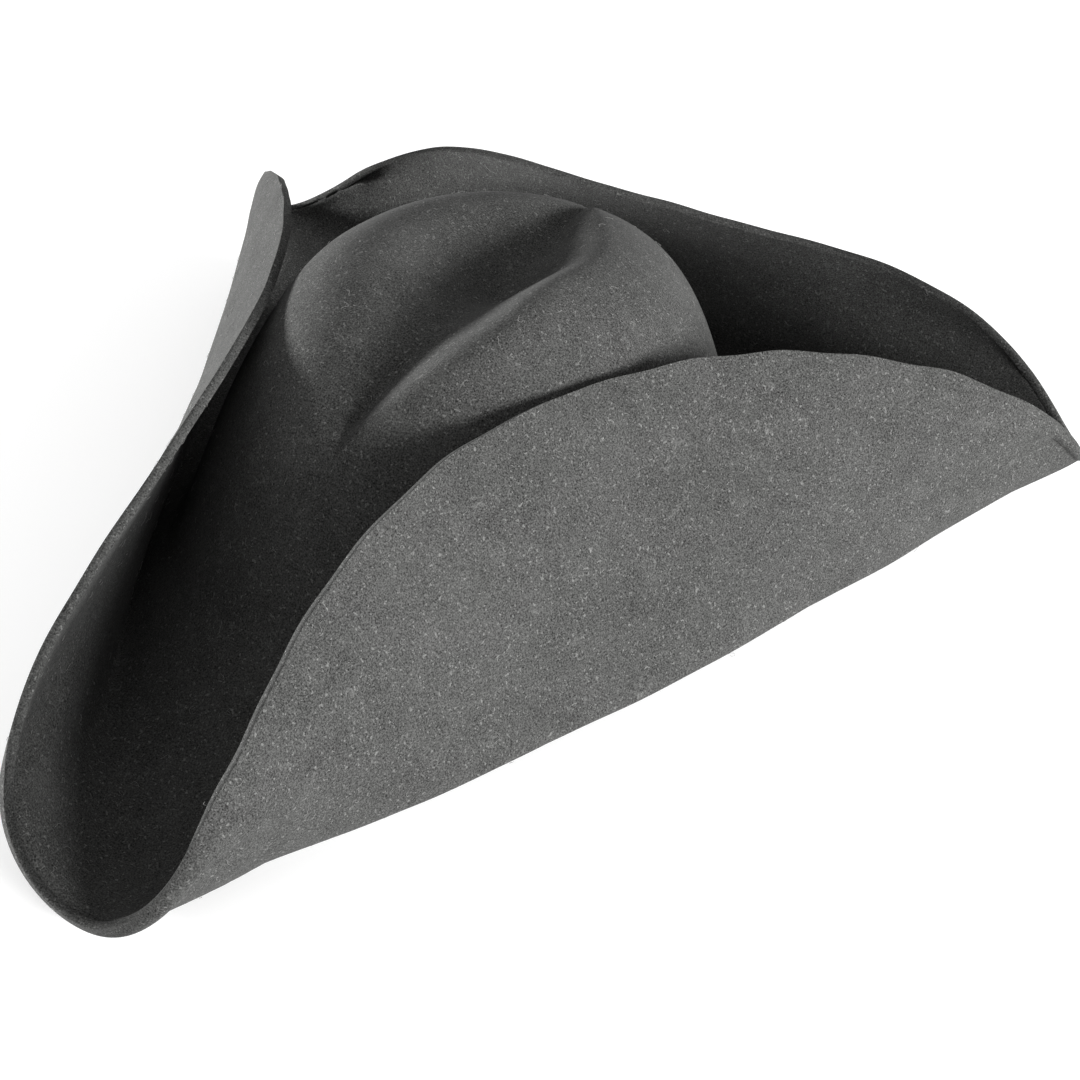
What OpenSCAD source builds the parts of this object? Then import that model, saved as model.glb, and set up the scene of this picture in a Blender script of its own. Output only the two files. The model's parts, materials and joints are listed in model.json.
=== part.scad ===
// Felt tricorn hat: a blocked crown and a wide brim turned up along three folds.
// The hat is drawn with its crown upright, then leaned back until it stands
// on its front corner and its back fold, as it does on a table.
// Bearings are degrees round the crown: 0 is the front, 90 the wearer's left, 180 the back.

/* [Head opening] */
// Width of the head opening inside the sweatband
head_w = 169; // [150:1:205]
// Length of the head opening inside the sweatband
head_l = 201; // [168:1:243]

/* [Crown] */
// Height of the crown above the brim
crown_h = 98; // [82:1:118]
// Share of its width that the crown loses from base to top
crown_taper = 0.32; // [0.2:0.01:0.4]
// Squareness of the crown in side view, where 2 is an ellipse
crown_square = 4.8; // [2.5:0.1:5.5]
// How far the top of the crown is set back behind its base
crown_setback = 9; // [0:1:14]
// How much lower the crown is at the back than at the front
crown_fall = 15; // [0:1:20]
// Depth of the crease along the top
crease_d = 24; // [0:1:28]
// Width from the crease's middle to its ridge
crease_w = 32; // [20:1:40]

/* [Felt] */
// Thickness of the felt
felt_t = 3; // [2:0.1:4]

/* [Brim] */
// Width of the brim from the crown to the cut edge, measured flat
brim_w = 122; // [101:1:147]
// Felt taken up by a fold, on each side of the fold line
fold_trim = 24; // [16:1:30]
// How much more felt the wide front corner takes up
front_trim = 45; // [20:1:60]
// How far a turned-up side bows outward
flap_bow = 4; // [0:0.5:6]
// Gap between a turned-up side and the rest of the brim
flap_gap = 2.4; // [2:0.1:3]

/* [Sweatband] */
// Height of the sweatband
band_h = 32; // [24:1:40]
// Thickness of the sweatband
band_t = 1.2; // [0.8:0.1:2]
// Gap between the taped reed and the felt
band_gap = 0.2; // [0.15:0.05:0.5]
// Radius of the reed at the sweatband's lower edge
reed_r = 0.6; // [0.5:0.1:1]
// Thickness of the tape folded round the reed
tape_t = 0.3; // [0.3:0.1:0.5]
// Length of one stitch
stitch_l = 3; // [2:0.5:4]
// Radius of the sewing thread
thread_r = 0.3; // [0.2:0.05:0.4]
// Number of stitches round the sweatband
stitch_count = 84; // [60:2:110]

/* [Trim inside] */
// Width of the tape over the sweatband's back seam
seam_w = 12; // [8:1:18]
// Width of the small bow
bow_w = 26; // [18:1:34]
// Height of the small bow
bow_h = 9; // [6:1:12]
// Width of the blank size label
label_w = 34; // [24:1:44]
// Height of the blank size label
label_h = 14; // [10:1:18]

/* [Hidden] */

felt_color = [0.05, 0.05, 0.052];
half_felt = felt_t / 2;
tape_clear = 0.1;                               // between the reed and its tape
tape_r = reed_r + tape_clear + tape_t;          // outside of the taped reed
wall_room = 1.05;                               // the wall leans in, so depths across it grow a little
band_depth = half_felt * wall_room + band_gap + tape_r;     // from the felt's middle to the band's
wall_offset = band_depth + band_t / 2;          // from the felt's middle to the head
half_w = head_w / 2 + wall_offset;              // the felt's middle at the base of the crown
half_l = head_l / 2 + wall_offset;

// Control points of the two curves that shape the brim, each as [bearing, gap from the crown
// at that height, height]. They are drawn for a brim of drawn_w and grow with brim_w, and for a
// crown of drawn_h.
drawn_w = 122;
drawn_h = 98;
lean_cap = 0.75;    // above this share of the crown's height the gap is no longer measured
fold_points = [[0, 60, -55], [10, 56, -55], [23, 41, -44], [44, 22, -26], [78, 25, -14],
    [107, 55, 0], [122, 95, 13], [127, 119, 19], [131, 118, 18], [136, 99, 13], [146, 74, 5],
    [161, 54, -1], [180, 47, -3]];
rim_points = [[0, 95, -53], [9, 103, -23], [12, 82, 23], [17, 33, 68], [71, -1, 82],
    [113, 54, 78], [122, 109, 53], [124, 121, 25], [129, 118, 24], [137, 112, 51],
    [146, 86, 69], [159, 51, 75], [180, 34, 77]];
spans = len(fold_points) - 1;   // from the front to the back of one side
turns = 2 * spans;              // all the way round

// Where the turned-up sides start and end, counted in spans from the front
side_from = 1.6;
side_to = 6.1;
back_from = 9;
side_cut = 0.15;    // the gaps at the ends of the turned-up sides, in spans
back_cut = 0.35;

// ---- small helpers
function mix(a, b, w) = a + (b - a) * w;
function ease(t) = let (c = min(max(t, 0), 1)) c * c * (3 - 2 * c);
function unit(v) = v / max(norm(v), 0.000001);
function steps(a, b, n) = [for (k = [0 : n]) mix(a, b, k / n)];

// ---- crown: a tapered dome on an oval
function wall_share(q) = (1 - crown_taper * q) * pow(1 - pow(q, crown_square), 1 / crown_square);
function oval_out(bearing) = unit([sin(bearing) / half_w, -cos(bearing) / half_l, 0]);
function oval_point(bearing) = [half_w * sin(bearing), -half_l * cos(bearing), 0];
function oval_reach(bearing, share) =
    share / norm([sin(bearing) / half_w, cos(bearing) / half_l]);

// The crease is a teardrop that starts halfway up the front, runs over the top and closes at
// the back. Its places along the top are degrees in side view, from the front.
crease_start = 28;
crease_open = 60;       // from here its ridges run side by side
crease_close = 85;      // and from here they close again
crease_end = 130;
crease_edge = 0.2;      // how soft its ridges are
function crease_share(x, along) =
    let (
        front = min(max((along - crease_start) / (crease_open - crease_start), 0.001), 1),
        back = min(max((crease_end - along) / (crease_end - crease_close), 0.001), 1),
        spread = sin(90 * front) * sin(90 * back),
        inside = 1 - pow(abs(x) / (crease_w * spread), 2.4)
    )
    spread * (inside + sqrt(inside * inside + crease_edge * crease_edge))
        / (1 + sqrt(1 + crease_edge * crease_edge));

// Middle of the felt at a bearing and at an angle up the side view, 0 at the base and 90 on top
function crown_point(bearing, up) =
    let (
        size = pow(pow(cos(up), crown_square) + pow(sin(up), crown_square), -1 / crown_square),
        q = size * sin(up),
        share = size * cos(up) * (1 - crown_taper * q),
        p = [half_w * share * sin(bearing),
            -half_l * share * cos(bearing) + crown_setback * q,
            half_felt + (crown_h - half_felt) * q + crown_fall / 2 * share * cos(bearing) * q],
        along = atan2(sin(up), cos(up) * cos(bearing)),
        depth = crease_d * crease_share(p.x, along),
        heart = [0, crown_setback / 2, crown_h * 0.45]
    )
    p - depth * unit(p - heart);

// ---- brim: closed curves through mirrored control points
function wall_reach(bearing, z, height, most) =
    oval_reach(bearing, wall_share(min(max(z / height, 0), most)));
function brim_point(p) =
    let (
        scale_up = brim_w / drawn_w,
        z = p[2] * scale_up,
        // a taller crown is wider at this height, and the brim moves out with it
        wider = wall_reach(p[0], z, crown_h, 1) - wall_reach(p[0], z, drawn_h, 1),
        reach = wall_reach(p[0], z, drawn_h, lean_cap) + p[1] * scale_up + max(0, wider)
    )
    [reach * sin(p[0]), -reach * cos(p[0]), z];
function closed_curve(points) =
    let (side = [for (p = points) brim_point(p)])
    concat(side, [for (k = [spans - 1 : -1 : 1]) [-side[k].x, side[k].y, side[k].z]]);
fold_curve = closed_curve(fold_points);
rim_curve = closed_curve(rim_points);
function curve_at(curve, u) =
    let (
        i = floor(u),
        t = u - i,
        a = curve[(i + turns - 1) % turns],
        b = curve[i % turns],
        c = curve[(i + 1) % turns],
        d = curve[(i + 2) % turns]
    )
    (pow(1 - t, 3) * a + (3 * t * t * t - 6 * t * t + 4) * b
        + (1 + 3 * t + 3 * t * t - 3 * t * t * t) * c + t * t * t * d) / 6;

// One section of the brim: from the crown, round the fold, up to the cut edge
margin_rows = 2;
fold_steps = steps(0, 1, 5);
cut_row = 10;                   // first row of the turned-up sides
flap_shares = [0, 0.3, 0.55, 0.8, 1];
cut_height = 0.04;              // of the turned-up side, below the cut
cut_most = 0.6;                 // the most of its height that the cut may take up
function brim_section(u) =
    let (
        f = curve_at(fold_curve, u),
        r = curve_at(rim_curve, u),
        bearing = atan2(f.x / half_w, -f.y / half_l),
        e = oval_point(bearing),
        inner = e - half_felt * oval_out(bearing),
        outer = e + half_felt * oval_out(bearing),
        front = ease(1 - min(u, turns - u) / 3),
        trim = fold_trim + front_trim * front,
        to_crown = unit(outer - f),
        to_rim = unit(r - f),
        k_crown = min(trim, 0.62 * norm(outer - f)),
        k_rim = min(trim, 0.85 * norm(r - f)),
        a = f + k_crown * to_crown,
        b = f + k_rim * to_rim,
        rise = norm(r - b),
        tangent = unit(curve_at(fold_curve, u + 0.05) - curve_at(fold_curve, u + turns - 0.05)),
        outward = unit(cross(tangent, to_rim)),
        bow = flap_bow * min(1, norm(r - f) / 60),
        cut_top = cut_height + min(cut_most, flap_gap / max(rise, 1)),
        shares = concat([cut_height], [for (w = flap_shares) mix(cut_top, 1, w)])
    )
    concat(
        [inner, outer, mix(outer, a, 0.5)],
        [for (w = fold_steps) (1 - w) * (1 - w) * a + 2 * w * (1 - w) * f + w * w * b],
        [for (w = shares) mix(b, r, w) + outward * bow * sin(180 * w)]
    );

side_columns = concat(
    steps(0, side_from - side_cut, 5),
    steps(side_from, side_to, 16),
    steps(side_to + side_cut, back_from - back_cut, 12),
    steps(back_from, spans, 12));
columns = concat(side_columns, [for (k = [len(side_columns) - 2 : -1 : 1]) turns - side_columns[k]]);
brim_grid = [for (u = columns) brim_section(u)];

// ---- solids from grids
// The unit direction across a grid at each point, pointing to the outside of the hat
function across(grid, i, j, closed) =
    let (
        n = len(grid),
        m = len(grid[0]),
        i0 = closed ? (i + n - 1) % n : max(i - 1, 0),
        i1 = closed ? (i + 1) % n : min(i + 1, n - 1),
        j0 = max(j - 1, 0),
        j1 = min(j + 1, m - 1)
    )
    unit(cross(grid[i1][j] - grid[i0][j], grid[i][j1] - grid[i][j0]));
function quad(a, b, c, d) = [[a, b, c], [a, c, d]];
function flat_list(lists) = [for (l = lists) for (x = l) x];

// Faces of a sheet made of the kept cells of a grid with m rows. Each grid point has two
// points of the solid: an outer one, then an inner one.
function sheet_faces(kept, n, m, closed) =
    flat_list([for (i = [0 : len(kept) - 1], j = [0 : m - 2]) if (kept[i][j])
        let (
            i1 = (i + 1) % n,
            a = 2 * (i * m + j),
            b = 2 * (i1 * m + j),
            c = b + 2,
            d = a + 2,
            left = i > 0 ? kept[i - 1][j] : (closed && kept[n - 1][j]),
            right = i < len(kept) - 1 ? kept[i + 1][j] : (closed && kept[0][j])
        )
        concat(
            quad(a, d, c, b),
            quad(a + 1, b + 1, c + 1, d + 1),
            j > 0 && kept[i][j - 1] ? [] : quad(a, b, b + 1, a + 1),
            right ? [] : quad(b, c, c + 1, b + 1),
            j < m - 2 && kept[i][j + 1] ? [] : quad(c, d, d + 1, c + 1),
            left ? [] : quad(d, a, a + 1, d + 1)
        )]);
function two_sided(grid, normals, half) =
    [for (i = [0 : len(grid) - 1], j = [0 : len(grid[0]) - 1], side = [1, -1])
        grid[i][j] + side * half * normals[i][j]];

// The brim's two margin rows lie flat under the crown.
brim_normals = [for (i = [0 : len(columns) - 1]) [for (j = [0 : len(brim_grid[0]) - 1])
    j < margin_rows ? [0, 0, -1] : across(brim_grid, i, j, true)]];
brim_skin = two_sided(brim_grid, brim_normals, half_felt);
brim_rows = len(brim_grid[0]);

// ---- how the hat stands
function leaned(p, lean) =
    [p.x, p.y * cos(lean) - p.z * sin(lean), p.y * sin(lean) + p.z * cos(lean)];
function lowest(points, lean, sign) =
    let (
        side = [for (p = points) if (p.y * sign > 0) p],
        heights = [for (p = side) leaned(p, lean).z],
        low = min(heights)
    )
    [for (k = [0 : len(side) - 1]) if (heights[k] == low) side[k]][0];
function standing_lean(lean, tries) =
    tries == 0 ? lean
    : let (front = lowest(brim_skin, lean, -1), back = lowest(brim_skin, lean, 1))
        standing_lean(-atan2(back.z - front.z, back.y - front.y), tries - 1);
lean = standing_lean(-9, 4);
stood_points = [for (p = brim_skin) leaned(p, lean)];
stand_z = -min([for (p = stood_points) p.z]);
stand_y = -(min([for (p = stood_points) p.y]) + max([for (p = stood_points) p.y])) / 2;

module stood() {
    translate([0, stand_y, stand_z])
        rotate([lean, 0, 0])
            children();
}

// ---- felt pieces
// Whether the cell after column i and row j is part of the brim between the turned-up sides
function in_side(u) = u > side_from - side_cut && u < side_to + side_cut;
function in_back(u) = u > back_from - back_cut;
function turned_up(i) =
    let (
        next = i + 1 < len(columns) ? columns[i + 1] : turns,
        middle = (columns[i] + next) / 2,
        u = min(middle, turns - middle)
    )
    in_side(u) || in_back(u);

module brim_base() {
    kept = [for (i = [0 : len(columns) - 1])
        [for (j = [0 : brim_rows - 2]) j < cut_row - 1 || !turned_up(i)]];
    color(felt_color)
        stood()
            polyhedron(brim_skin, sheet_faces(kept, len(columns), brim_rows, true));
}

// A turned-up side is the part of the brim grid from column first to column last.
module flap(first, last) {
    rows = brim_rows - cut_row;
    skin = [for (i = [first : last], j = [cut_row : brim_rows - 1], side = [0, 1])
        brim_skin[2 * ((i % len(columns)) * brim_rows + j) + side]];
    kept = [for (i = [first : last - 1]) [for (j = [0 : rows - 2]) true]];
    color(felt_color)
        stood()
            polyhedron(skin, sheet_faces(kept, last - first + 1, rows, false));
}
function column_at(u) = [for (k = [0 : len(columns) - 1]) if (abs(columns[k] - u) < 0.001) k][0];
module left_flap() {
    flap(column_at(side_from), column_at(side_to));
}
module right_flap() {
    flap(column_at(turns - side_to), column_at(turns - side_from));
}
module back_flap() {
    flap(column_at(back_from), column_at(turns - back_from));
}

crown_columns = 64;
crown_ups = [0, 7, 14, 21, 27, 33, 37, 41, 45, 50, 56, 63, 71, 80];
module crown() {
    n = crown_columns;
    m = len(crown_ups);
    grid = [for (i = [0 : n - 1]) [for (up = crown_ups) crown_point(360 * i / n, up)]];
    normals = [for (i = [0 : n - 1]) [for (j = [0 : m - 1])
        j == 0 ? oval_out(360 * i / n) : across(grid, i, j, true)]];
    top = crown_point(0, 90);
    skin = concat(two_sided(grid, normals, half_felt),
        [top + [0, 0, half_felt], top - [0, 0, half_felt]]);
    kept = [for (i = [0 : n - 1]) [for (j = [0 : m - 2]) true]];
    ring = sheet_faces(kept, n, m, true);
    // The wall that would close the ring at its last row gives way to two fans to the top.
    last = 2 * (m - 1);
    open_top = [for (f = ring) if (len([for (v = f) if (v % (2 * m) >= last) v]) < 3) f];
    fans = flat_list([for (i = [0 : n - 1])
        let (a = 2 * m * i + last, b = 2 * m * ((i + 1) % n) + last)
        [[a, 2 * m * n, b], [b + 1, 2 * m * n + 1, a + 1]]]);
    color(felt_color)
        stood()
            polyhedron(skin, concat(open_top, fans));
}

// ---- sweatband and what is sewn to it
// Inside of the crown at a bearing and height, moved a depth further in from the felt's middle
function inside_point(bearing, z, depth) =
    let (
        q = max(z, 0) / crown_h,
        share = wall_share(q),
        p = oval_point(bearing)
    )
    [p.x * share, p.y * share + crown_setback * q, z] - depth * oval_out(bearing);

// A closed ring round the inside of the crown, swept from a profile of [depth, height] points
ring_columns = 72;
module inner_ring(profile) {
    n = ring_columns;
    m = len(profile);
    points = [for (i = [0 : n - 1], p = profile) inside_point(360 * i / n, p[1], p[0])];
    faces = flat_list([for (i = [0 : n - 1], j = [0 : m - 1])
        let (i1 = (i + 1) % n, j1 = (j + 1) % m)
        quad(i * m + j, i1 * m + j, i1 * m + j1, i * m + j1)]);
    stood()
        polyhedron(points, faces);
}

// A curved patch on the sweatband's face. outline gives [share of the width, height of the
// lower edge, height of the upper edge, thickness] from one end to the other.
module band_patch(bearing, width, face, outline) {
    per_degree = 3.14159 / 180 * norm([half_w * cos(bearing), half_l * sin(bearing)]);
    points = [for (o = outline)
        let (b = bearing + (o[0] - 0.5) * width / per_degree)
        each [inside_point(b, o[1], face), inside_point(b, o[2], face),
            inside_point(b, o[2], face + o[3]), inside_point(b, o[1], face + o[3])]];
    last = len(outline) - 1;
    faces = concat(
        flat_list([for (i = [0 : last - 1], j = [0 : 3])
            let (j1 = (j + 1) % 4)
            quad(4 * i + j, 4 * i + j1, 4 * (i + 1) + j1, 4 * (i + 1) + j)]),
        quad(3, 2, 1, 0),
        quad(4 * last, 4 * last + 1, 4 * last + 2, 4 * last + 3));
    stood()
        polyhedron(points, faces);
}

reed_z = tape_r - half_felt;        // the taped reed is level with the brim's underside
band_low = reed_z + reed_r + tape_clear;
band_high = band_low + band_h;
band_out = band_depth - band_t / 2;
band_in = band_depth + band_t / 2;
module sweatband() {
    middle = (band_low + band_high) / 2;
    color([0.03, 0.028, 0.026])
        inner_ring([[band_out, band_low], [band_in, band_low], [band_in, middle],
            [band_in, band_high], [band_out, band_high], [band_out, middle]]);
}

reed_sides = 8;
module sweatband_reed() {
    color([0.75, 0.73, 0.68])
        inner_ring([for (k = [0 : reed_sides - 1])
            [band_depth + reed_r * cos(360 * k / reed_sides),
                reed_z + reed_r * sin(360 * k / reed_sides)]]);
}

tape_sides = 8;
module reed_tape() {
    open_half = 60;     // degrees left open at the top, on each side
    turn = (360 - 2 * open_half) / tape_sides;
    arc = [for (k = [0 : tape_sides]) 90 + open_half + k * turn];
    inner_r = reed_r + tape_clear;
    color([0.05, 0.05, 0.05])
        inner_ring(concat(
            [for (a = arc) [band_depth + tape_r * cos(a), reed_z + tape_r * sin(a)]],
            [for (k = [tape_sides : -1 : 0])
                [band_depth + inner_r * cos(arc[k]), reed_z + inner_r * sin(arc[k])]]));
}

stitch_z = band_low + 2.5;
thread_clear = 0.2;      // a straight stitch beside a curved band
module sweatband_stitches() {
    color([0.12, 0.12, 0.12])
        stood()
            for (k = [0 : stitch_count - 1]) {
                bearing = 360 * (k + 0.5) / stitch_count;
                dir = oval_out(bearing);
                translate(inside_point(bearing, stitch_z, band_in + thread_r + thread_clear))
                    rotate([90, 0, atan2(dir.y, dir.x)])
                        cylinder(h = stitch_l, r = thread_r, center = true, $fn = 16);
            }
}

patch_gap = 0.25;        // between the band and a patch that lies on it
seam_t = 0.5;
seam_low = stitch_z + thread_r + 1;
module back_seam_tape() {
    color([0.06, 0.06, 0.06])
        band_patch(180, seam_w, band_in + patch_gap, [for (w = steps(0, 1, 4))
            [w, seam_low, band_high - 2, seam_t]]);
}

bow_t = 1.4;
knot_t = 2.4;
module inner_bow() {
    middle = band_high - 3 - bow_h / 2;
    color([0.08, 0.08, 0.085])
        band_patch(180, bow_w, band_in + 2 * patch_gap + seam_t, [for (w = steps(0, 1, 16))
            let (
                from_middle = abs(2 * w - 1),
                knot = from_middle < 0.15,
                half = bow_h / 2 * (knot ? 0.55 : 0.35 + 0.65 * sqrt(min(1, from_middle * 1.2)))
            )
            [w, middle - half, middle + half, knot ? knot_t : bow_t]]);
}

label_bearing = 148;
label_t = 0.5;
module size_label() {
    color([0.75, 0.73, 0.68])
        band_patch(label_bearing, label_w, band_in + patch_gap, [for (w = steps(0, 1, 6))
            [w, band_high - 4 - label_h, band_high - 4, label_t]]);
}

crown();
brim_base();
left_flap();
right_flap();
back_flap();
sweatband();
sweatband_reed();
reed_tape();
sweatband_stitches();
back_seam_tape();
inner_bow();
size_label();
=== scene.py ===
import json
import math
import random

import bpy
import numpy as np
from mathutils import Matrix, Vector


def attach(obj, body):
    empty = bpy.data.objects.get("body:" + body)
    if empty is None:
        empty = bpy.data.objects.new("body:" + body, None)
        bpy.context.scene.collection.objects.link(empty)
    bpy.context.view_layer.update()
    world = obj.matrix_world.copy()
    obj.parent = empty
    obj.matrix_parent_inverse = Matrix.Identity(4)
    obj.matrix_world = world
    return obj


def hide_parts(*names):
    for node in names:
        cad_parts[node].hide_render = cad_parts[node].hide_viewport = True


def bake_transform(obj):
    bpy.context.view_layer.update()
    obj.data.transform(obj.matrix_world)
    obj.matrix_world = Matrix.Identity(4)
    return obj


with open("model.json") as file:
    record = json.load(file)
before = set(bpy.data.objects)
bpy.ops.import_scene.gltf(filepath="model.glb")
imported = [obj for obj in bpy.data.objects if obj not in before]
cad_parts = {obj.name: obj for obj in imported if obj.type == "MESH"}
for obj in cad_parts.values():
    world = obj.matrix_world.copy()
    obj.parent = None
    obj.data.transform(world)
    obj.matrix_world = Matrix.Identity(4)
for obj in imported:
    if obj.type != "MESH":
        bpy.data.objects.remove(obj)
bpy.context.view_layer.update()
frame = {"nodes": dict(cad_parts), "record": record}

# The felt is worked out in the hat's own frame, crown upright, then stood on the floor
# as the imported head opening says. Bearings run round the crown: 0 is the front, 90 the
# wearer's left, 180 the back. Lengths are in metres.


def mix(a, b, w):
    return a + (b - a) * w


def ease(t):
    t = np.clip(t, 0, 1)
    return t * t * (3 - 2 * t)


def unit(v):
    return v / np.maximum(np.linalg.norm(v, axis=-1, keepdims=True), 1e-9)


def column(values):
    return np.asarray(values)[..., None]


# ---- shape of the crown
crown = {
    "headWidth": 0.169,         # the oval inside the sweatband
    "headLength": 0.201,
    "height": 0.098,
    "taper": 0.32,
    "squareness": 4.8,
    "setback": 0.009,
    "fall": 0.015,
    "creaseDepth": 0.024,
    "creaseWidth": 0.032,       # from the middle of the crease to its ridge
    "creaseEdge": (0.7, 0.15),  # how soft its ridges are, on the right and on the left
    "creaseBend": (1.7, 2.4),   # and how its walls curve
    "creaseLean": 0.16,         # how far its bottom lies towards the left ridge
    "creaseStart": 28,          # degrees over the top from the front
    "creaseFill": 0.6,          # how early it is deep, where 1 is as early as it is wide
    "creaseOpen": 60,
    "creaseClose": 85,
    "creaseEnd": 130,
    "heart": 0.45,              # the crease is pressed in towards this share of the height
    "felt": 0.003,
    "bandDepth": 0.002775,      # from the middle of the felt to the middle of the sweatband
    "bandThickness": 0.0012,
}
half = crown["felt"] / 2
wallOffset = crown["bandDepth"] + crown["bandThickness"] / 2
halfWidth = crown["headWidth"] / 2 + wallOffset
halfLength = crown["headLength"] / 2 + wallOffset


def wallShare(q):
    return (1 - crown["taper"] * q) * (1 - q ** crown["squareness"]) ** (1 / crown["squareness"])


def ovalPoint(bearing):
    return np.stack([halfWidth * np.sin(bearing), -halfLength * np.cos(bearing), 0 * bearing], -1)


def ovalOut(bearing):
    return unit(np.stack([np.sin(bearing) / halfWidth, -np.cos(bearing) / halfLength, 0 * bearing], -1))


def creaseShare(x, along):
    # a teardrop that starts halfway up the front, runs over the top and closes at the back
    start, opened, closing, end = (crown["crease" + k] for k in ("Start", "Open", "Close", "End"))
    least = 0.001               # keeps the division below away from zero
    front = np.clip((along - start) / (opened - start), least, 1)
    back = np.clip((end - along) / (end - closing), least, 1)
    spread = np.sin(front * math.pi / 2) * np.sin(back * math.pi / 2)
    x = x / (crown["creaseWidth"] * spread) - crown["creaseLean"]
    onLeft = x > 0
    x = np.where(onLeft, x / (1 - crown["creaseLean"]), -x / (1 + crown["creaseLean"]))
    inside = 1 - x ** np.where(onLeft, crown["creaseBend"][1], crown["creaseBend"][0])
    soft = np.where(onLeft, crown["creaseEdge"][1], crown["creaseEdge"][0])
    full = 1 + np.sqrt(1 + soft ** 2)
    return spread ** crown["creaseFill"] * (inside + np.sqrt(inside ** 2 + soft ** 2)) / full


def crownPoint(bearing, up):
    # up is an angle in the side view, 0 at the base and a right angle on top
    n = crown["squareness"]
    size = (np.cos(up) ** n + np.sin(up) ** n) ** (-1 / n)
    q = size * np.sin(up)
    share = size * np.cos(up) * (1 - crown["taper"] * q)
    x = halfWidth * share * np.sin(bearing)
    y = -halfLength * share * np.cos(bearing) + crown["setback"] * q
    z = half + (crown["height"] - half) * q + crown["fall"] / 2 * share * np.cos(bearing) * q
    p = np.stack([x, y, z], -1)
    along = np.degrees(np.arctan2(np.sin(up), np.cos(up) * np.cos(bearing)))
    depth = crown["creaseDepth"] * creaseShare(x, along)
    heart = np.array([0, crown["setback"] / 2, crown["heart"] * crown["height"]])
    return p - column(depth) * unit(p - heart)


# ---- shape of the brim
brim = {
    # control points of the fold line and of the cut edge on one side, each as bearing,
    # gap from the crown at that height, height
    "fold": [(0, 0.06, -0.055), (10, 0.056, -0.055), (23, 0.041, -0.044), (44, 0.022, -0.026),
             (78, 0.025, -0.014), (107, 0.055, 0), (122, 0.095, 0.013), (127, 0.119, 0.019),
             (131, 0.118, 0.018), (136, 0.099, 0.013), (146, 0.074, 0.005), (161, 0.054, -0.001),
             (180, 0.047, -0.003)],
    "edge": [(0, 0.095, -0.053), (9, 0.103, -0.023), (12, 0.082, 0.023), (17, 0.033, 0.068),
             (71, -0.001, 0.082), (113, 0.054, 0.078), (122, 0.109, 0.053), (124, 0.121, 0.025),
             (129, 0.118, 0.024), (137, 0.112, 0.051), (146, 0.086, 0.069), (159, 0.051, 0.075),
             (180, 0.034, 0.077)],
    "gapCap": 0.75,             # above this share of the crown's height the gap stays as it is
    "foldTrim": 0.024,          # felt taken up by a fold, on each side of its line
    "frontTrim": 0.045,         # how much more the wide front corner takes up
    "frontSpans": 3,            # and how far back it does so, in spans of the curves
    "mostToCrown": 0.62,        # the most that a fold takes of the felt towards the crown
    "mostToEdge": 0.85,         # and towards the cut edge
    "bow": 0.004,               # how far a turned-up side bows outward
    "fullBow": 0.06,            # sides lower than this bow less
    "sideFrom": 1.6,            # where the turned-up sides start and end, in spans
    "sideTo": 6.1,
    "backFrom": 9,
}
spans = len(brim["fold"]) - 1
turns = 2 * spans


def closedCurve(points):
    bearing, gap, z = np.array(points).T
    bearing = np.radians(bearing)
    share = wallShare(np.clip(z / crown["height"], 0, brim["gapCap"]))
    reach = gap + share / np.hypot(np.sin(bearing) / halfWidth, np.cos(bearing) / halfLength)
    side = np.stack([reach * np.sin(bearing), -reach * np.cos(bearing), z], -1)
    return np.concatenate([side, side[-2:0:-1] * [-1, 1, 1]])


def curveAt(curve, u):
    i = np.floor(u).astype(int)
    t = column(u - i)
    a, b, c, d = (curve[(i + k) % turns] for k in (-1, 0, 1, 2))
    return ((1 - t) ** 3 * a + (3 * t ** 3 - 6 * t ** 2 + 4) * b
            + (1 + 3 * t + 3 * t ** 2 - 3 * t ** 3) * c + t ** 3 * d) / 6


foldCurve = closedCurve(brim["fold"])
edgeCurve = closedCurve(brim["edge"])

grid = {
    "columns": 320,             # on one side, from the front to the back
    "top": 84,                  # rows from the top of the crown to the break
    "break": 8,                 # round the break, where the crown turns into the brim
    "flat": 16,                 # out to the fold
    "fold": 18,
    "side": 40,                 # up the turned-up side
    "breakReach": 0.006,
    "topGap": 0.002,            # the angle left open round the top of the crown, in radians
    "measured": 4000,           # pieces in which the curves are measured
    "leastPiece": 1.5e-5,       # added to each, to keep columns apart where the curves are short
    "crownSmoothing": 3,
    "brimSmoothing": 8,
    "smoothFrom": 3,            # rows above the break where the brim's smoothing starts
    "smoothPull": 0.25,
    "wave": 0.0003,             # how far the felt wavers from its blocked shape
    "waveSize": 0.012,
    "waveRows": 20,             # rows below the break over which it sets in
    "edgeWave": 0.0006,         # and its cut edge
    "edgeWaveSize": 0.009,
    "edgeWaveRows": 7,          # rows below the cut edge that waver with it
    "roundEdge": 0.7,           # how round the cut edge looks
}


def spacedColumns():
    # columns evenly spaced along the fold and the edge together, the same on both sides
    u = np.linspace(0, spans, grid["measured"] + 1)
    length = sum(np.linalg.norm(np.diff(curveAt(c, u), axis=0), axis=1) for c in (foldCurve, edgeCurve))
    run = np.concatenate([[0], np.cumsum(length + grid["leastPiece"])])
    one = np.interp(np.linspace(0, run[-1], grid["columns"] + 1), run, u)
    return np.concatenate([one, turns - one[-2:0:-1]])


def spacedUps():
    # angles up the side view, from near the top down to the break, evenly spaced on the felt
    high = math.pi / 2 - grid["topGap"]
    low = np.arctan(grid["breakReach"] / crown["height"])
    ups = np.linspace(high, low, grid["measured"] // 2 + 1)
    points = np.array([crownPoint(np.array([math.pi / 4]), up)[0] for up in ups])
    run = np.concatenate([[0], np.cumsum(np.linalg.norm(np.diff(points, axis=0), axis=1))])
    return np.interp(np.linspace(0, run[-1], grid["top"]), run, ups)


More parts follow.
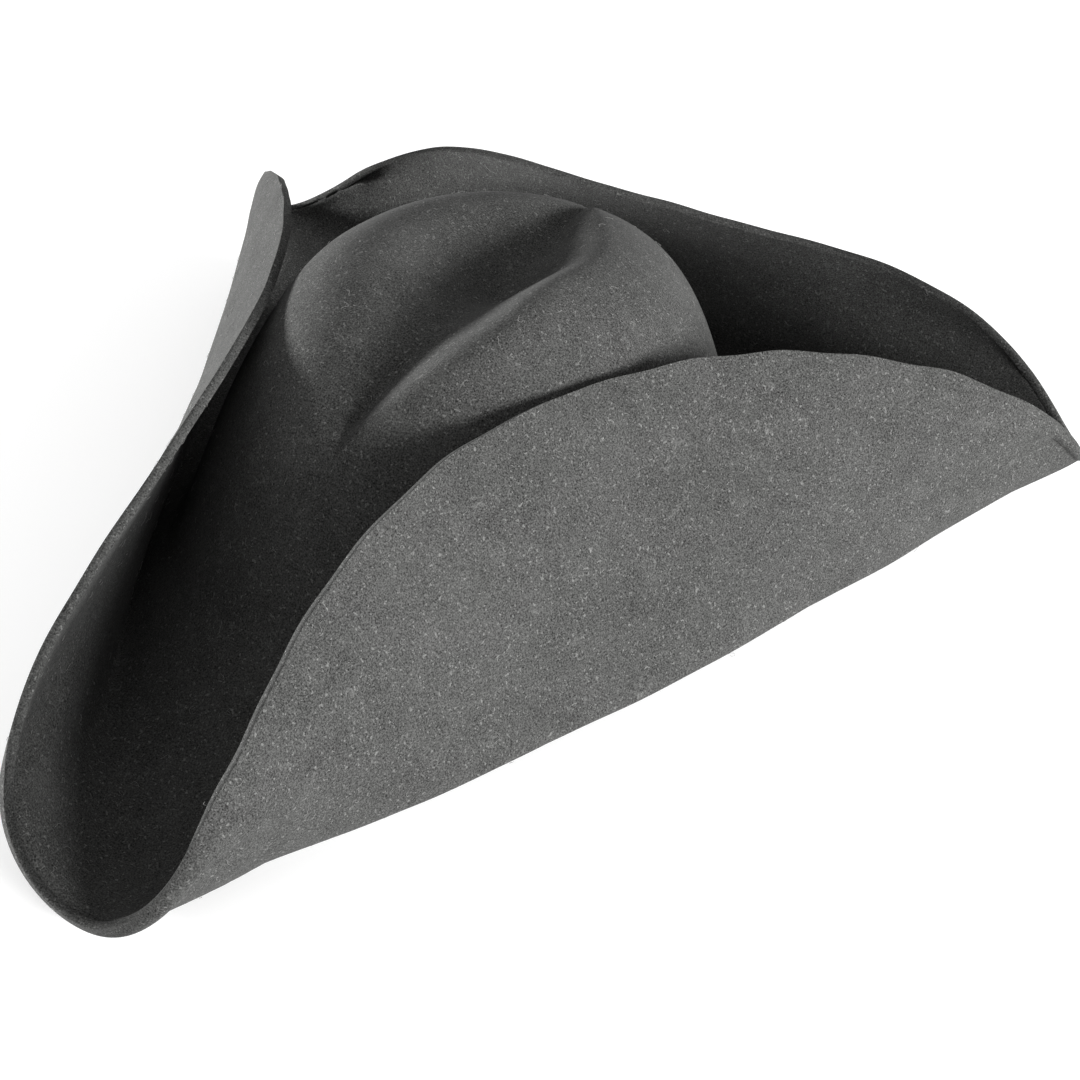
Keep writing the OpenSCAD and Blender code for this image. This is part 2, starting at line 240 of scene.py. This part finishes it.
def feltSections(u):
    # middle of the felt, one row of points from the top of the crown to the cut edge a column
    f = curveAt(foldCurve, u)
    r = curveAt(edgeCurve, u)
    bearing = np.arctan2(f[:, 0] / halfWidth, -f[:, 1] / halfLength)
    base = ovalPoint(bearing)
    front = ease(1 - np.minimum(u, turns - u) / brim["frontSpans"])
    trim = brim["foldTrim"] + brim["frontTrim"] * front
    outer = base + half * ovalOut(bearing)
    toCrown, toEdge = outer - f, r - f
    crownReach = brim["mostToCrown"] * np.linalg.norm(toCrown, axis=1)
    edgeReach = np.linalg.norm(toEdge, axis=1)
    a = f + column(np.minimum(trim, crownReach)) * unit(toCrown)
    b = f + column(np.minimum(trim, brim["mostToEdge"] * edgeReach)) * unit(toEdge)
    near = 0.05                 # spans to either side of a point on the fold
    tangent = curveAt(foldCurve, u + near) - curveAt(foldCurve, u + turns - near)
    outward = unit(np.cross(tangent, unit(toEdge)))
    bow = brim["bow"] * np.minimum(1, edgeReach / brim["fullBow"])

    rows = [crownPoint(bearing, up) for up in spacedUps()]
    wall = rows[-1]
    shelf = base + grid["breakReach"] * unit(a - base)
    for w in np.linspace(0, 1, grid["break"] + 1)[1:]:
        rows.append((1 - w) ** 2 * wall + 2 * w * (1 - w) * base + w * w * shelf)
    rows += [mix(shelf, a, w) for w in np.linspace(0, 1, grid["flat"] + 1)[1:]]
    for w in np.linspace(0, 1, grid["fold"] + 1)[1:]:
        rows.append((1 - w) ** 2 * a + 2 * w * (1 - w) * f + w * w * b)
    for w in np.linspace(0, 1, grid["side"] + 1)[1:]:
        rows.append(mix(b, r, w) + outward * column(bow * math.sin(math.pi * w)))
    return np.stack(rows, 1)


def smoothRows(p):
    # the brim more than the crown, and round the crown as well as up it
    pull = grid["smoothPull"]
    top = p[:, :grid["top"]]
    for _ in range(grid["crownSmoothing"]):
        top[:, 1:-1] += pull * (top[:, :-2] + top[:, 2:] - 2 * top[:, 1:-1])
        top += pull * (np.roll(top, 1, 0) + np.roll(top, -1, 0) - 2 * top)
    q = p[:, grid["top"] - grid["smoothFrom"]:]
    for _ in range(grid["brimSmoothing"]):
        q[:, 1:-1] += pull * (q[:, :-2] + q[:, 2:] - 2 * q[:, 1:-1])
    return p


# ---- how the hat stands
opening = frame["record"]["mounts"][0]
upAxis = -np.array(opening["axis"])
backAxis = np.cross(upAxis, [1, 0, 0])
hatOrigin = np.array(opening["pos_m"]) + half * upAxis


def stood(p):
    return hatOrigin + p @ np.array([[1, 0, 0], backAxis, upAxis])


# ---- the felt body as one grid
def gridNormals(p):
    along = np.roll(p, -1, 0) - np.roll(p, 1, 0)
    across = np.gradient(p, axis=1)
    return unit(np.cross(along, across))


def waver(p, scale, seed):
    # a gentle, seeded unevenness at each point, from -1 to 1
    random.seed(seed)
    waves = 9
    total = np.zeros(p.shape[:-1])
    for _ in range(waves):
        direction = np.array([random.gauss(0, 1) for _ in range(3)])
        total += np.sin(p @ direction / scale + random.uniform(0, 2 * math.pi))
    return total / (waves / 2)


u = spacedColumns()
middle = smoothRows(feltSections(u))
columns, rows = middle.shape[:2]
normals = gridNormals(middle)
brimShare = ease((np.arange(rows) - grid["top"]) / grid["waveRows"])
middle += normals * column(grid["wave"] * brimShare * waver(middle, grid["waveSize"], 3))
lastRows = ease((np.arange(rows) - rows + grid["edgeWaveRows"]) / (grid["edgeWaveRows"] - 1))
outwards = unit(middle[:, -1] - middle[:, -4])[:, None]
middle += outwards * column(lastRows * grid["edgeWave"] * waver(middle[:, -1:], grid["edgeWaveSize"], 5))
normals = gridNormals(middle)
middle, normals = stood(middle), stood(normals) - stood(np.zeros(3))
crownTop = stood(crownPoint(np.array([0.0]), np.array([math.pi / 2]))[0])
print("felt grid", columns, rows)


# ---- materials
def addNode(tree, kind, **inputs):
    node = tree.nodes.new(kind)
    for name, value in inputs.items():
        node.inputs[name].default_value = value
    return node


def mathNode(tree, operation, a, b=0.0):
    node = tree.nodes.new("ShaderNodeMath")
    node.operation = operation
    for socket, value in zip(node.inputs, (a, b)):
        if isinstance(value, (int, float)):
            socket.default_value = value
        else:
            tree.links.new(value, socket)
    return node.outputs[0]


def noiseNode(tree, place, size, detail=2.0, distortion=0.0):
    # size is the distance between the noise's blobs, in metres
    node = addNode(tree, "ShaderNodeTexNoise", Scale=1 / size, Detail=detail, Distortion=distortion)
    tree.links.new(place, node.inputs["Vector"])
    return node.outputs["Fac"]


def contrast(tree, value, gain):
    # a noise about its middle value, stretched
    return mathNode(tree, "MULTIPLY", mathNode(tree, "SUBTRACT", value, 0.5), gain)


def newGroup(name, inputs, outputs):
    group = bpy.data.node_groups.new(name, "ShaderNodeTree")
    for direction, names in (("INPUT", inputs), ("OUTPUT", outputs)):
        for socket in names:
            group.interface.new_socket(socket, in_out=direction, socket_type="NodeSocketFloat")
    place = group.nodes.new("ShaderNodeTexCoord").outputs["Object"]
    return group, place, group.nodes.new("NodeGroupInput"), group.nodes.new("NodeGroupOutput")


def newMaterial(name, roughness):
    material = bpy.data.materials.new(name)
    material.use_nodes = True
    shader = material.node_tree.nodes["Principled BSDF"]
    shader.inputs["Roughness"].default_value = roughness
    return material, material.node_tree, shader


def placeGroup(tree, group, **inputs):
    node = addNode(tree, "ShaderNodeGroup")
    node.node_tree = group
    for name, value in inputs.items():
        node.inputs[name].default_value = value
    return node.outputs


def finishSurface(tree, shader, color, shade, height, strength, relief):
    # the colour, made paler and darker by the shade, and a bump from the height
    tint = tree.nodes.new("ShaderNodeVectorMath")
    tint.operation = "SCALE"
    tint.inputs[0].default_value = color
    tree.links.new(shade, tint.inputs["Scale"])
    tree.links.new(tint.outputs[0], shader.inputs["Base Color"])
    bump = addNode(tree, "ShaderNodeBump", Strength=strength, Distance=relief)
    tree.links.new(height, bump.inputs["Height"])
    tree.links.new(bump.outputs[0], shader.inputs["Normal"])


felt = {
    "color": (0.042, 0.0422, 0.041),
    "roughness": 0.95,
    "specular": 0.06,
    "sheen": 0.03,
    "sheenRoughness": 0.6,
    "grain": 0.0005,            # distance between the nap's tufts
    "grainContrast": 3.8,
    "blotch": 0.009,            # and between paler and darker blotches
    "blotchContrast": 0.5,
    "cloud": 0.035,             # and wider, fainter ones
    "cloudContrast": 0.35,
    "fleck": 0.0011,            # and between the pale flecks
    "fleckCut": 0.68,           # how rare the flecks are, from 0 to 1
    "fleckGain": 1.3,           # and how pale
    "fibre": 0.006,             # distance between the curly fibres in the nap
    "fibreCurl": 1.5,
    "fibreThinness": 30,
    "fibrePatch": 0.0078,       # distance between the patches that have them
    "fibreCut": 0.6,
    "fibreGain": 0.6,
    "fibreHeight": 0.5,
    "relief": 0.00022,
    "reliefStrength": 0.7,
}


def napGroup():
    # the felt's nap: how pale it is at each point, how high it stands and where fibres show
    group, place, _, out = newGroup("felt nap", (), ("Shade", "Height", "Fibre"))
    grain = noiseNode(group, place, felt["grain"], 3)
    blotch = noiseNode(group, place, felt["blotch"], 3)
    cloud = noiseNode(group, place, felt["cloud"], 1)
    flecks = noiseNode(group, place, felt["fleck"], 1)
    patches = noiseNode(group, place, felt["fibrePatch"], 1)
    # a curly fibre runs where a twisted noise crosses its middle value
    curl = noiseNode(group, place, felt["fibre"], 1, felt["fibreCurl"])
    away = mathNode(group, "ABSOLUTE", contrast(group, curl, felt["fibreThinness"]))
    line = mathNode(group, "MAXIMUM", mathNode(group, "SUBTRACT", 1, away), 0)
    fibre = mathNode(group, "MULTIPLY", line, mathNode(group, "GREATER_THAN", patches, felt["fibreCut"]))
    fleck = mathNode(group, "GREATER_THAN", flecks, felt["fleckCut"])
    shade = mathNode(group, "ADD", contrast(group, grain, felt["grainContrast"]),
                     contrast(group, blotch, felt["blotchContrast"]))
    shade = mathNode(group, "ADD", shade, contrast(group, cloud, felt["cloudContrast"]))
    shade = mathNode(group, "ADD", shade, mathNode(group, "MULTIPLY", fleck, felt["fleckGain"]))
    raised = mathNode(group, "MULTIPLY", fibre, felt["fibreHeight"])
    group.links.new(mathNode(group, "ADD", shade, 1), out.inputs["Shade"])
    group.links.new(mathNode(group, "ADD", grain, raised), out.inputs["Height"])
    group.links.new(fibre, out.inputs["Fibre"])
    return group


def feltMaterial():
    material, tree, shader = newMaterial("black felt", felt["roughness"])
    shader.inputs["Specular IOR Level"].default_value = felt["specular"]
    shader.inputs["Sheen Weight"].default_value = felt["sheen"]
    shader.inputs["Sheen Roughness"].default_value = felt["sheenRoughness"]
    nap = placeGroup(tree, napGroup())
    pale = mathNode(tree, "MULTIPLY", nap["Fibre"], felt["fibreGain"])
    shade = mathNode(tree, "ADD", nap["Shade"], pale)
    finishSurface(tree, shader, felt["color"], shade, nap["Height"], felt["reliefStrength"], felt["relief"])
    return material


def trimGroup(name, pattern):
    # a fine grain, or the ribs of a woven ribbon, as a shade from 0.8 to 1.2 and a height
    group, place, given, out = newGroup(name, ("Scale",), ("Shade", "Height"))
    node = group.nodes.new(pattern)
    if pattern == "ShaderNodeTexNoise":
        node.inputs["Detail"].default_value = 3
    group.links.new(place, node.inputs["Vector"])
    group.links.new(given.outputs["Scale"], node.inputs["Scale"])
    height = node.outputs["Fac"]
    group.links.new(height, out.inputs["Height"])
    shade = mathNode(group, "ADD", mathNode(group, "MULTIPLY", height, 0.4), 0.8)
    group.links.new(shade, out.inputs["Shade"])
    return group


fineGrain = trimGroup("fine grain", "ShaderNodeTexNoise")
wovenRibs = trimGroup("woven ribs", "ShaderNodeTexWave")
trims = {
    # pattern, distance between its grains or ribs, colour, roughness, relief
    "loose fibre": (fineGrain, 0.001, (0.19, 0.19, 0.185), 0.9, 0.00005),
    "imitation leather": (fineGrain, 0.0012, (0.03, 0.028, 0.026), 0.45, 0.0001),
    "semi-clear plastic": (fineGrain, 0.002, (0.7, 0.68, 0.62), 0.35, 0.00002),
    "ribbed ribbon": (wovenRibs, 0.004, (0.04, 0.04, 0.042), 0.6, 0.0001),
    "sewing thread": (fineGrain, 0.0005, (0.05, 0.05, 0.05), 0.8, 0.00005),
    "woven label": (wovenRibs, 0.003, (0.7, 0.68, 0.62), 0.8, 0.00008),
}
trimStrength = 0.5              # how strongly the relief shows


def trimMaterial(name):
    group, size, color, roughness, relief = trims[name]
    material, tree, shader = newMaterial(name, roughness)
    pattern = placeGroup(tree, group, Scale=1 / size)
    finishSurface(tree, shader, color, pattern["Shade"], pattern["Height"], trimStrength, relief)
    return material


blackFelt = feltMaterial()
trimMaterials = {name: trimMaterial(name) for name in trims}
print("materials made")


# ---- building meshes
def makeMesh(name, points, faces, material, nodes, body="root"):
    mesh = bpy.data.meshes.new(name)
    mesh.from_pydata(points, [], faces)
    mesh.shade_smooth()
    obj = bpy.data.objects.new(name, mesh)
    bpy.context.scene.collection.objects.link(obj)
    mesh.materials.append(material)
    if nodes:
        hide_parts(*nodes)
    if body:
        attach(obj, body)
    return obj


def quads(a, b, c, d):
    return np.stack([x.reshape(-1) for x in (a, b, c, d)], -1)


def sheetSolid(kept, fanTop=False):
    # the kept cells of the felt grid as a closed solid: both faces of the felt, walls round the
    # border, and for the crown two fans that close its top
    index = np.arange(columns * rows * 2).reshape(columns, rows, 2)
    nxt = np.roll(index, -1, 0)
    a, b, c, d = index[:, :-1], nxt[:, :-1], nxt[:, 1:], index[:, 1:]
    above = np.concatenate([np.zeros((columns, 1), bool), kept[:, :-1]], 1)
    below = np.concatenate([kept[:, 1:], np.zeros((columns, 1), bool)], 1)
    if fanTop:
        above[:, 0] = True
    before, after = np.roll(kept, 1, 0), np.roll(kept, -1, 0)
    faces = [quads(a[kept, 0], b[kept, 0], c[kept, 0], d[kept, 0]),
             quads(a[kept, 1], d[kept, 1], c[kept, 1], b[kept, 1])]
    for free, p, q in ((above, b, a), (below, d, c), (before, a, d), (after, c, b)):
        wall = kept & ~free
        faces.append(quads(p[wall, 0], q[wall, 0], q[wall, 1], p[wall, 1]))
    points = np.stack([middle + half * normals, middle - half * normals], 2).reshape(-1, 3)
    sideFaces = len(faces[0])
    faces = np.concatenate(faces)
    used, renumbered = np.unique(faces, return_inverse=True)
    faces = renumbered.reshape(faces.shape).tolist()
    points = points[used].tolist()
    if fanTop:
        place = {k: i for i, k in enumerate(used)}
        for side in (0, 1):
            ring = [place[k] for k in index[:, 0, side]]
            points.append((crownTop + (1 - 2 * side) * half * normals[:, 0].mean(0)).tolist())
            tip = len(points) - 1
            for k in range(columns):
                pair = (ring[k], ring[k - 1])
                faces.append([tip, *pair] if side == 0 else [tip, *pair[::-1]])
    return points, faces, used, sideFaces


def feltPiece(name, kept, nodes, body, fanTop=False):
    points, faces, used, sideFaces = sheetSolid(kept, fanTop)
    obj = makeMesh(name, points, faces, blackFelt, nodes, body)
    mesh = obj.data
    # the corners on the two faces take the whole grid's normals
    loopNormals = np.zeros((len(mesh.loops), 3), np.float32)
    loopVertex = np.zeros(len(mesh.loops), np.int32)
    mesh.loops.foreach_get("vertex_index", loopVertex)
    sign = np.where(used % 2 == 0, 1, -1)       # the first face, then the other
    own = (normals.reshape(-1, 3)[used // 2] * sign[:, None]).astype(np.float32)
    faceLoops = 2 * 4 * sideFaces
    loopNormals[:faceLoops] = own[loopVertex[:faceLoops]]
    # and the corners of the cut edge look round
    cutEdge = unit(middle[:, -1] - middle[:, -2])
    isCut = (used // 2) % rows == rows - 1
    rounded = unit(np.repeat(cutEdge, rows, 0)[used // 2] + grid["roundEdge"] * own)
    for polygon in mesh.polygons[2 * sideFaces:]:
        if all(k < len(isCut) and isCut[k] for k in polygon.vertices):
            for loop in polygon.loop_indices:
                loopNormals[loop] = rounded[loopVertex[loop]]     # the cut edge's corners
    mesh.normals_split_custom_set(loopNormals.tolist())
    return obj


lint = {
    "perArea": 3600,            # curled fibres on a square metre of each face
    "length": (0.002, 0.007),
    "radius": 0.00005,
    "curl": 0.9,                # how much a fibre turns from one of its points to the next
    "drift": 0.3,               # and how much more it turns to one side
    "lift": 0.00012,
    "points": 10,
}


def lintPiece(name, kept, body, seed):
    # curled loose fibres lying on both faces of a piece of felt, as thin closed tubes
    chance = np.random.default_rng(seed)
    a, b, c = middle, np.roll(middle, -1, 0), np.roll(middle, -1, 1)
    cellArea = np.linalg.norm(np.cross(b - a, c - a), axis=-1)[:, :-1] * kept
    count = int(cellArea.sum() * 2 * lint["perArea"])
    picked = chance.choice(cellArea.size, count, p=(cellArea / cellArea.sum()).reshape(-1))
    i, j = np.unravel_index(picked, cellArea.shape)
    face = column(chance.choice([-1, 1], count))
    up = face * normals[i, j]
    east = unit(np.cross(up, b[i, j] - a[i, j]))
    north = np.cross(up, east)
    steps = lint["points"]
    turn = chance.normal(0, lint["curl"], (count, steps))
    turn += chance.normal(0, lint["drift"], (count, 1))
    heading = chance.uniform(0, 2 * math.pi, (count, 1)) + np.cumsum(turn, 1)
    stride = column(column(chance.uniform(*lint["length"], count) / steps))
    path = column(np.cos(heading)) * east[:, None] + column(np.sin(heading)) * north[:, None]
    path = np.cumsum(path * stride, 1)
    rise = lint["lift"] + lint["lift"] * 2 * np.sin(np.linspace(0, math.pi, steps))
    path += (middle[i, j] + half * up)[:, None] + column(rise) * up[:, None]
    along = unit(np.gradient(path, axis=1))
    side = unit(np.cross(along, up[:, None]))
    thirds = np.arange(3) * 2 * math.pi / 3
    corners = [math.cos(k) * side + math.sin(k) * np.cross(along, side) for k in thirds]
    points = path[:, :, None] + lint["radius"] * np.stack(corners, 2)
    index = np.arange(count * steps * 3).reshape(count, steps, 3)
    turned = np.roll(index, -1, 2)
    faces = quads(index[:, :-1], turned[:, :-1], turned[:, 1:], index[:, 1:]).tolist()
    faces += index[:, 0, ::-1].tolist() + index[:, -1].tolist()
    points = points.reshape(-1, 3).tolist()
    return makeMesh(name, points, faces, trimMaterials["loose fibre"], [], body)


upRow = sum(grid[part] for part in ("top", "break", "flat", "fold"))    # the foot of the sides


def keptCells(low, high, inSpan):
    # the cells of the grid in rows low to high whose columns lie where inSpan says
    kept = np.zeros((columns, rows), bool)[:, :-1]
    place = np.minimum(u, turns - u)
    middleOf = (place + np.roll(place, -1)) / 2
    kept[:, low:high] = inSpan(middleOf)[:, None]
    return kept


leftColumns = np.arange(columns) < columns // 2
isSide = keptCells(upRow, rows - 1, lambda v: (v > brim["sideFrom"]) & (v < brim["sideTo"]))
isBack = keptCells(upRow, rows - 1, lambda v: v > brim["backFrom"])
isHat = ~isSide & ~isBack
hatFelt = feltPiece("felt_crown_and_brim", isHat, ["crown", "brim_base"], "root", True)
hatLint = lintPiece("lint_crown_and_brim", isHat, "root", 1)


def turnedUp(name, node, cells):
    obj = feltPiece("felt_" + name, cells, [node], None)
    fibres = lintPiece("lint_" + name, cells, None, len(node))
    # each piece's placing baked into its mesh
    for piece in (obj, fibres):
        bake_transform(piece)
    return obj, fibres


leftSide, leftLint = turnedUp("left_side", "left_flap", isSide & leftColumns[:, None])
rightSide, rightLint = turnedUp("right_side", "right_flap", isSide & ~leftColumns[:, None])
backSide, backLint = turnedUp("back_side", "back_flap", isBack)

print("felt pieces made")


# ---- pieces that show their CAD solids
insidePieces = {
    "sweatband": "imitation leather",
    "sweatband_reed": "semi-clear plastic",
    "reed_tape": "ribbed ribbon",
    "sweatband_stitches": "sewing thread",
    "back_seam_tape": "ribbed ribbon",
    "inner_bow": "ribbed ribbon",
    "size_label": "woven label",
}
sharpAngle = math.radians(35)
for nodeName, trim in insidePieces.items():
    obj = frame["nodes"][nodeName]
    obj.data.materials.clear()
    obj.data.materials.append(trimMaterials[trim])
    obj.data.shade_smooth()
    obj.data.set_sharp_from_angle(angle=sharpAngle)
print("inside pieces finished")

# ---- floor, light and camera
view = {
    "azimuth": 31.73,
    "elevation": 36.8,
    "roll": 0.89,
    "distance": 0.861,
    "lens": 87.6,
    "sensorWidth": 36,
    "target": (0.0283, 0.0288, 0.0221),
}


def makeCamera():
    a, e = math.radians(view["azimuth"]), math.radians(view["elevation"])
    back = Vector((math.sin(a) * math.cos(e), -math.cos(a) * math.cos(e), math.sin(e)))
    right = Vector((math.cos(a), math.sin(a), 0))
    turn = Matrix((right, back.cross(right), back)).transposed()
    turn = turn @ Matrix.Rotation(math.radians(-view["roll"]), 3, "Z")
    camera = bpy.data.objects.new("camera", bpy.data.cameras.new("camera"))
    camera.data.lens = view["lens"]
    camera.data.sensor_width = view["sensorWidth"]
    at = Vector(view["target"]) + back * view["distance"]
    camera.matrix_world = Matrix.Translation(at) @ turn.to_4x4()
    bpy.context.scene.collection.objects.link(camera)
    bpy.context.scene.camera = camera


floor = {
    "halfSize": 40,
    "color": (0.9, 0.9, 0.9, 1),
    "emission": 0.2,
    "roughness": 0.95,
    "specular": 0.1,
}


def floorMaterial():
    material, _, shader = newMaterial("pale floor", floor["roughness"])
    shader.inputs["Base Color"].default_value = floor["color"]
    shader.inputs["Emission Color"].default_value = (1, 1, 1, 1)
    shader.inputs["Emission Strength"].default_value = floor["emission"]
    shader.inputs["Specular IOR Level"].default_value = floor["specular"]
    return material


def makeFloor():
    mesh = bpy.data.meshes.new("floor")
    s = floor["halfSize"]
    mesh.from_pydata([(-s, -s, 0), (s, -s, 0), (s, s, 0), (-s, s, 0)], [], [(0, 1, 2, 3)])
    obj = bpy.data.objects.new("floor", mesh)
    mesh.materials.append(floorMaterial())
    bpy.context.scene.collection.objects.link(obj)


# each light as place, size and power in watts
lights = {
    "key": ((1.85, 0.35, 0.45), 0.5, 66),
    "keyFront": ((1.6, -0.7, 0.5), 0.5, 24),
    "lowLeft": ((-1.75, -0.6, 0.14), 0.4, 115),
}
lightAim = (0, 0, 0.05)
worldLight = 0.6


def makeLight(name, at, size, power):
    light = bpy.data.lights.new(name, "AREA")
    light.shape = "DISK"
    light.size = size
    light.energy = power
    obj = bpy.data.objects.new(name, light)
    direction = Vector(at) - Vector(lightAim)
    obj.matrix_world = Matrix.Translation(at) @ direction.to_track_quat("Z", "Y").to_matrix().to_4x4()
    bpy.context.scene.collection.objects.link(obj)


makeCamera()
makeFloor()
for name, (at, size, power) in lights.items():
    makeLight(name, at, size, power)
world = bpy.data.worlds.new("studio")
bpy.context.scene.world = world
world.use_nodes = True
world.node_tree.nodes["Background"].inputs["Color"].default_value = (1, 1, 1, 1)
world.node_tree.nodes["Background"].inputs["Strength"].default_value = worldLight
bpy.context.scene.view_settings.view_transform = "Standard"
print("camera, floor and lights made")
